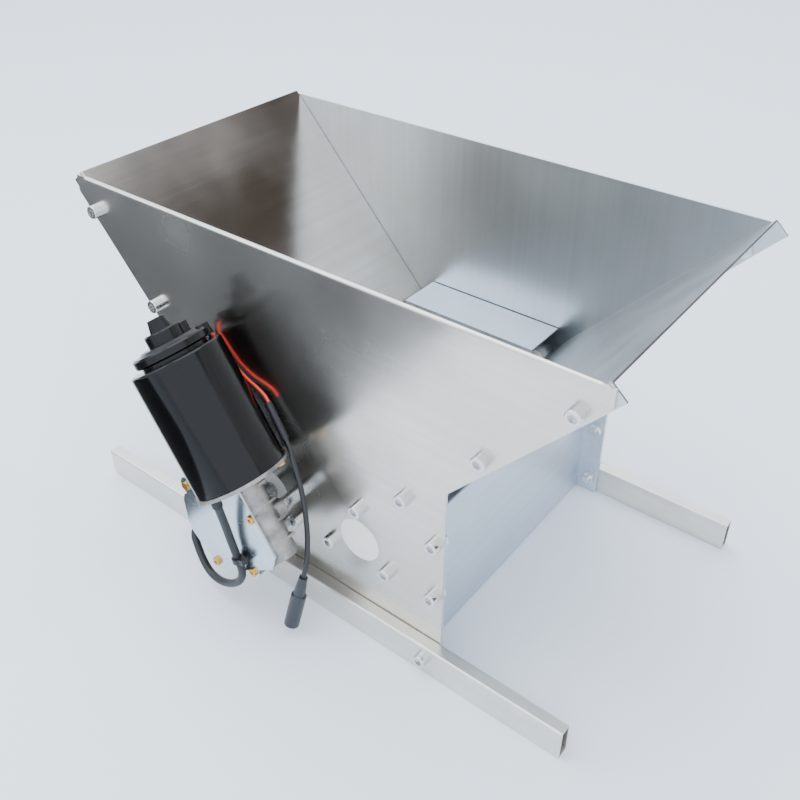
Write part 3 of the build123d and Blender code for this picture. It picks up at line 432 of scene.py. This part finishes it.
# Plastics, paper and board: no metal sheen, and a fine grain that softens the light.
WHITE_NYLON = Polymer("machined_white_nylon", "E9E7E1", shade="DAD7CE", roughness=0.5)
WHEEL_NYLON = Polymer("moulded_wheel_nylon", "D8D2BE", shade="C6BFA8", roughness=0.42)
GASKET_PAPER = Polymer("oiled_gasket_paper", "4A4640", shade="38352F", roughness=0.85, depth=0.04)
BRONZE = TurnedMetal("sintered_bronze", "A67B4A", shade="75542F", roughness=0.42, mark=0.6)
LAMINATIONS = TurnedMetal("stacked_laminations", "6F7072", shade="4A4B4D", roughness=0.45)
COPPER = TurnedMetal("enamelled_copper", "B8703C", shade="7E4524", roughness=0.3, mark=0.8)
COMMUTATOR = TurnedMetal("turned_copper_bars", "C98A5C", shade="8F5936", roughness=0.28)
FERRITE = Polymer("pressed_ferrite", "2A2A2C", shade="1E1E20", roughness=0.6)
PHENOLIC = Polymer("phenolic_board", "6B4427", shade="52331C", roughness=0.55)
CARBON = Polymer("pressed_carbon", "242528", shade="191A1C", roughness=0.5)
SPRING_STEEL = TurnedMetal("spring_steel_strip", "A9A69B", shade="7F7C72", roughness=0.24)
RUBBER = Polymer("moulded_rubber", "1D1D1E", shade="141415", roughness=0.7, depth=0.03)
RED_PVC = Polymer("red_wire_insulation", "F0402C", shade="D93220", roughness=0.32, depth=0.006)
BLACK_PVC = Polymer("black_cord_jacket", "17181A", shade="101113", roughness=0.34, depth=0.008)
HEAT_SHRINK = Polymer("heat_shrink_tube", "1B1C1F", shade="121315", roughness=0.48, grain=1.4, depth=0.05)
CONNECTOR = Polymer("moulded_connector", "23282E", shade="1A1E23", roughness=0.3, depth=0.01)
TIE_NYLON = Polymer("cable_tie_nylon", "1A1A1B", shade="111112", roughness=0.4)


def dress(finish: Finish, *nodes: str) -> list[str]:
    """Give CAD nodes a finish.

    Args:
        finish: the finish.
        nodes: names of the nodes.

    Returns:
        The names, for the log.
    """
    for name in nodes:
        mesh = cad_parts[name].data
        mesh.materials.clear()
        mesh.materials.append(finish.material())
    return list(nodes)


# ---- sub-assemblies ----
@dataclass
class Hopper:
    """Sheet metal body: side plates, sloped walls, chute panels, guard and feet."""

    name: str = "hopper"

    def build(self) -> list[str]:
        """Dress the body's sheets and rails.

        Returns:
            The nodes' names, for the log.
        """
        names = dress(SIDE_SHEET, "near_side_plate")
        names += dress(FAR_SHEET, "far_side_plate")
        names += dress(LEFT_SHEET, "left_hopper_wall")
        names += dress(RIGHT_SHEET, "right_hopper_wall", "left_chute_panel")
        names += dress(PANEL_SHEET, "right_chute_panel", "gear_guard")
        names += dress(TUBE, "near_foot_rail", "far_foot_rail")
        return names


@dataclass
class Fasteners:
    """Screws, nuts and spacers of the body."""

    name: str = "fasteners"

    def build(self) -> list[str]:
        """Dress the fasteners.

        Returns:
            The nodes' names, for the log.
        """
        screws = ("wall_screws", "rail_screws", "bearing_screws", "guard_screws", "gearbox_mount_screws")
        names = dress(STAINLESS_SCREW, *screws, "wall_nuts", "bearing_nuts")
        return names + dress(GROUND_BAR, "guard_spacers", "gearbox_standoffs")


@dataclass
class RollerPair:
    """Both ribbed rollers with their shafts, gears and bearings."""

    name: str = "roller_pair"

    def build(self) -> list[str]:
        """Dress the rollers' pieces.

        Returns:
            The nodes' names, for the log.
        """
        names: list[str] = []
        for side in ("drive", "driven"):
            names += dress(DRUM_STEEL, f"{side}_roller")
            names += dress(GROUND_BAR, f"{side}_shaft", f"{side}_gear_key")
            names += dress(HOBBED_STEEL, f"{side}_gear")
            names += dress(WHITE_NYLON, f"near_{side}_bearing", f"far_{side}_bearing")
        return names


@dataclass
class Gearbox:
    """Worm gearbox: casting, cover, wheel and output."""

    name: str = "gearbox"

    def build(self) -> list[str]:
        """Dress the gearbox's pieces.

        Returns:
            The nodes' names, for the log.
        """
        names = dress(DIE_CAST, "gearbox_housing")
        names += dress(BLUE_ZINC, "gearbox_cover")
        names += dress(YELLOW_ZINC, "cover_screws", "motor_tie_screws")
        names += dress(GASKET_PAPER, "gearbox_gasket")
        names += dress(WHEEL_NYLON, "worm_wheel")
        names += dress(BRONZE, "output_bush", "shaft_bearings")
        names += dress(GROUND_BAR, "output_shaft", "drive_pins")
        return names + dress(HOBBED_STEEL, "shaft_coupling")


@dataclass
class Motor:
    """Motor: painted can and cap outside, armature, magnets and brushes inside."""

    name: str = "motor"

    def build(self) -> list[str]:
        """Dress the motor's pieces.

        Returns:
            The nodes' names, for the log.
        """
        names = dress(BLACK_GLOSS, "motor_can")
        names += dress(BLACK_CAP, "motor_end_cap")
        names += dress(FERRITE, "motor_magnets")
        names += dress(PHENOLIC, "brush_plate")
        names += dress(CARBON, "brushes")
        names += dress(SPRING_STEEL, "brush_springs")
        names += dress(GROUND_BAR, "armature_shaft")
        names += dress(LAMINATIONS, "armature_core")
        names += dress(COPPER, "armature_windings")
        names += dress(COMMUTATOR, "commutator")
        return names + dress(RUBBER, "cable_grommets")


def route_points(route: list[RoutePoint]) -> list[Vector]:
    """Turn route points into metres in the machine's frame.

    Args:
        route: points in millimetres, with y counted from the near plate's face.

    Returns:
        The points as vectors.
    """
    return [Vector((x * MM, y * MM + PLATE_FACE_Y, z * MM)) for x, y, z in route]


@dataclass
class Cord:
    """A wire, cord or cable along a given route."""

    name: str
    route: list[RoutePoint]
    diameter: float
    length: float
    finish: Finish
    slot: str
    far_end: str
    stiffness: str = "medium"
    lay: str = "loose"
    with_nodes: list[str] = field(default_factory=list)

    def spline(self) -> bpy.types.Curve:
        """Make the route's line, with no thickness.

        Returns:
            The curve data.
        """
        curve = bpy.data.curves.new(self.name, "CURVE")
        curve.dimensions = "3D"
        curve.resolution_u = 14
        line = curve.splines.new("NURBS")
        places = route_points(self.route)
        line.points.add(len(places) - 1)
        for point, place in zip(line.points, places):
            point.co = (*place, 1.0)
        line.order_u = 3
        line.use_endpoint_u = True
        return curve

    def build(self) -> bpy.types.Object:
        """Returns:
            The cord's object.
        """
        curve = self.spline()
        curve.bevel_depth = self.diameter / 2 * MM
        curve.bevel_resolution = 6
        curve.use_fill_caps = True
        curve.materials.append(self.finish.material())
        cord = bpy.data.objects.new(f"{self.name}_line", curve)
        bpy.context.scene.collection.objects.link(cord)
        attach(cord, FRAME_BODY)
        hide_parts(self.name)
        return cord


RED_ROUTE: list[RoutePoint] = [
    (-82.4, -6.8, 204.1), (-81.5, -4.4, 202.5), (-79.8, -2.4, 199.6), (-73.4, -2.2, 194.5),
    (-66.7, -2.3, 187.0), (-58.7, -2.4, 179.8), (-47.4, -2.8, 174.8), (-40.6, -3.3, 173.4),
    (-33.5, -3.9, 171.2), (-30.2, -4.3, 169.4), (-28.0, -4.4, 166.5),
]
BLACK_ROUTE: list[RoutePoint] = [
    (-85.5, -7.1, 202.0), (-84.6, -4.7, 200.4), (-82.8, -2.7, 197.5), (-76.6, -2.5, 192.3),
    (-69.9, -2.4, 184.8), (-61.7, -2.2, 177.7), (-50.0, -2.8, 173.1), (-42.6, -3.3, 171.2),
    (-35.5, -3.9, 169.2), (-32.1, -4.3, 167.6), (-30.0, -4.4, 165.1),
]
CORD_ROUTE: list[RoutePoint] = [
    (-12.6, -6.0, 142.9), (-8.3, -6.5, 136.9), (-4.8, -8.5, 129.1), (3.1, -11.0, 117.1),
    (10.7, -15.0, 99.4), (16.7, -20.0, 78.5), (23.2, -29.6, 64.0), (21.8, -32.0, 53.4),
]
CABLE_ROUTE: list[RoutePoint] = [
    (-25.3, -61.0, 114.2), (-26.4, -56.5, 95.5), (-24.2, -54.2, 76.5), (-19.9, -53.6, 61.7),
    (-17.1, -52.9, 50.4), (-22.4, -51.8, 36.3), (-35.4, -50.5, 23.5), (-49.7, -49.0, 16.2),
    (-62.4, -47.0, 15.2), (-71.5, -45.0, 20.4), (-79.1, -42.5, 28.5), (-85.0, -40.0, 36.5),
    (-80.5, -38.0, 47.3), (-72.2, -38.0, 53.1),
]


@dataclass
class Wiring:
    """Leads, splice, power cord and the sleeved cable."""

    name: str = "wiring"

    def cords(self) -> list[Cord]:
        """List the four cords with their diameters and lengths in millimetres.

        Returns:
            The cords, not built yet.
        """
        splice = ["splice_sleeve"]
        return [
            Cord("red_lead", RED_ROUTE, 2.2, 69.8, RED_PVC, "red_pvc", "fitting", "limp", "loose", splice),
            Cord("black_lead", BLACK_ROUTE, 2.2, 70.3, BLACK_PVC, "black_pvc", "fitting", "limp", "loose",
                 splice),
            Cord("power_cord", CORD_ROUTE, 3.8, 101.7, BLACK_PVC, "black_pvc", "connector", "medium",
                 "hanging", ["dc_connector"]),
            Cord("sleeved_cable", CABLE_ROUTE, 5.8, 180.0, HEAT_SHRINK, "woven_sleeve", "object", "stiff",
                 "loose", ["cable_tie"]),
        ]

    def build(self) -> list[str]:
        """Make the cords and dress what is on them.

        Returns:
            The nodes' names, for the log.
        """
        names = [cord.build().name for cord in self.cords()]
        names += dress(HEAT_SHRINK, "splice_sleeve")
        names += dress(CONNECTOR, "dc_connector")
        return names + dress(TIE_NYLON, "cable_tie")


# ---- studio ----
@dataclass
class Studio:
    """Pale floor, soft lights and the camera."""

    camera_at: RoutePoint = (354.73, -357.08, 551.09)
    yaw: float = 38.88
    pitch: float = 33.08
    roll: float = 0.42
    lens: float = 42.5
    shift: tuple[float, float] = (0.024, -0.0748)
    floor_half: float = 12.0
    floor_colour: str = "E6EBF2"
    sky: str = "DFE8F3"
    dark_zones: tuple[tuple[RoutePoint, float, float, str], ...] = (
        ((0.59, 0.652, 0.30), 0.90, 0.80, "2E2925"),
        ((-0.92, -0.52, -0.02), 0.93, 0.76, "4E4C49"),
    )
    sky_strength: float = 3.2
    flag_edges: tuple[float, float, float, float] = (-1100.0, -130.0, -700.0, -60.0)
    flag_height: float = 3.0

    def camera(self) -> None:
        """Place the camera at the viewing angle."""
        data = bpy.data.cameras.new("camera")
        data.lens = self.lens
        data.shift_x, data.shift_y = self.shift
        data.clip_start = 0.01
        camera = bpy.data.objects.new("camera", data)
        turn = Matrix.Rotation(math.radians(self.yaw), 4, "Z")
        turn @= Matrix.Rotation(math.radians(90 - self.pitch), 4, "X")
        turn @= Matrix.Rotation(math.radians(-self.roll), 4, "Z")
        camera.matrix_world = Matrix.Translation(route_points([self.camera_at])[0]) @ turn
        bpy.context.scene.collection.objects.link(camera)
        bpy.context.scene.camera = camera

    def floor(self) -> None:
        """Lay the pale floor."""
        half = self.floor_half
        mesh = bpy.data.meshes.new("floor")
        corners = [(-half, -half, 0), (half, -half, 0), (half, half, 0), (-half, half, 0)]
        mesh.from_pydata(corners, [], [(0, 1, 2, 3)])
        floor = bpy.data.objects.new("floor", mesh)
        bpy.context.scene.collection.objects.link(floor)
        tone = self.floor_colour
        finish = Polymer("studio_floor", tone, shade=tone, roughness=0.7, depth=0.0)
        mesh.materials.append(finish.material())

    def flag(self) -> None:
        """Lay a dark card left of the machine that only reflections show, to shade the near plate."""
        west, east, south, north = self.flag_edges
        high = self.flag_height
        corners = [(west, south, high), (east, south, high), (east, north, high), (west, north, high)]
        mesh = bpy.data.meshes.new("grey_flag")
        mesh.from_pydata(route_points(corners), [], [(0, 1, 2, 3)])
        card = bpy.data.objects.new("grey_flag", mesh)
        bpy.context.scene.collection.objects.link(card)
        felt = Polymer("flag_felt", "343536", shade="2C2D2E", roughness=0.9, depth=0.0)
        mesh.materials.append(felt.material())
        card.visible_camera = card.visible_diffuse = card.visible_shadow = False

    def light(
        self, name: str, place: RoutePoint, size: tuple[float, float], watts: float, colour: str
    ) -> None:
        """Hang a soft light that faces the machine.

        Args:
            name: the light's name.
            place: its place in metres.
            size: width and height in metres.
            watts: power.
            colour: hex colour.
        """
        data = bpy.data.lights.new(name, "AREA")
        data.shape = "RECTANGLE"
        data.size, data.size_y = size
        data.energy = watts
        data.color = linear(colour)[:3]
        lamp = bpy.data.objects.new(name, data)
        lamp.location = place
        lamp.rotation_euler = (Vector((0, 0, 0.12)) - Vector(place)).to_track_quat("-Z", "Y").to_euler()
        bpy.context.scene.collection.objects.link(lamp)

    def surroundings(self) -> None:
        """Light the room evenly, with two darker sides that the sheets reflect."""
        world = bpy.data.worlds.new("room")
        bpy.context.scene.world = world
        world.use_nodes = True
        tree = world.node_tree
        way = add_node(tree, "ShaderNodeTexCoord").outputs["Generated"]
        colour: str | Socket = self.sky
        for towards, inner, outer, shade in self.dark_zones:
            inputs = {0: way, 1: tuple(Vector(towards).normalized())}
            facing = add_node(tree, "ShaderNodeVectorMath", inputs, operation="DOT_PRODUCT")
            share = spread(tree, facing.outputs["Value"], 0.0, 1.0, outer, inner)
            colour = blend(tree, share, colour, shade)
        background = tree.nodes["Background"]
        tree.links.new(colour, background.inputs["Color"])
        background.inputs["Strength"].default_value = self.sky_strength

    def build(self) -> None:
        """Set up the whole studio."""
        self.camera()
        self.floor()
        self.flag()
        self.surroundings()
        self.light("top_softbox", (-0.2, 0.1, 1.5), (1.4, 1.4), 16, "FFFFFF")
        self.light("left_softbox", (-1.1, -0.9, 0.9), (0.8, 1.2), 9, "EAF1FA")


def main() -> None:
    """Build every sub-assembly in order, then the studio, and log each piece."""
    logging.basicConfig(level=logging.INFO)
    for assembly in (Wiring(), Hopper(), Fasteners(), RollerPair(), Gearbox(), Motor()):
        for piece in assembly.build():
            log.info("%s: %s", assembly.name, piece)
    Studio().build()


if __name__ == "__main__":
    main()
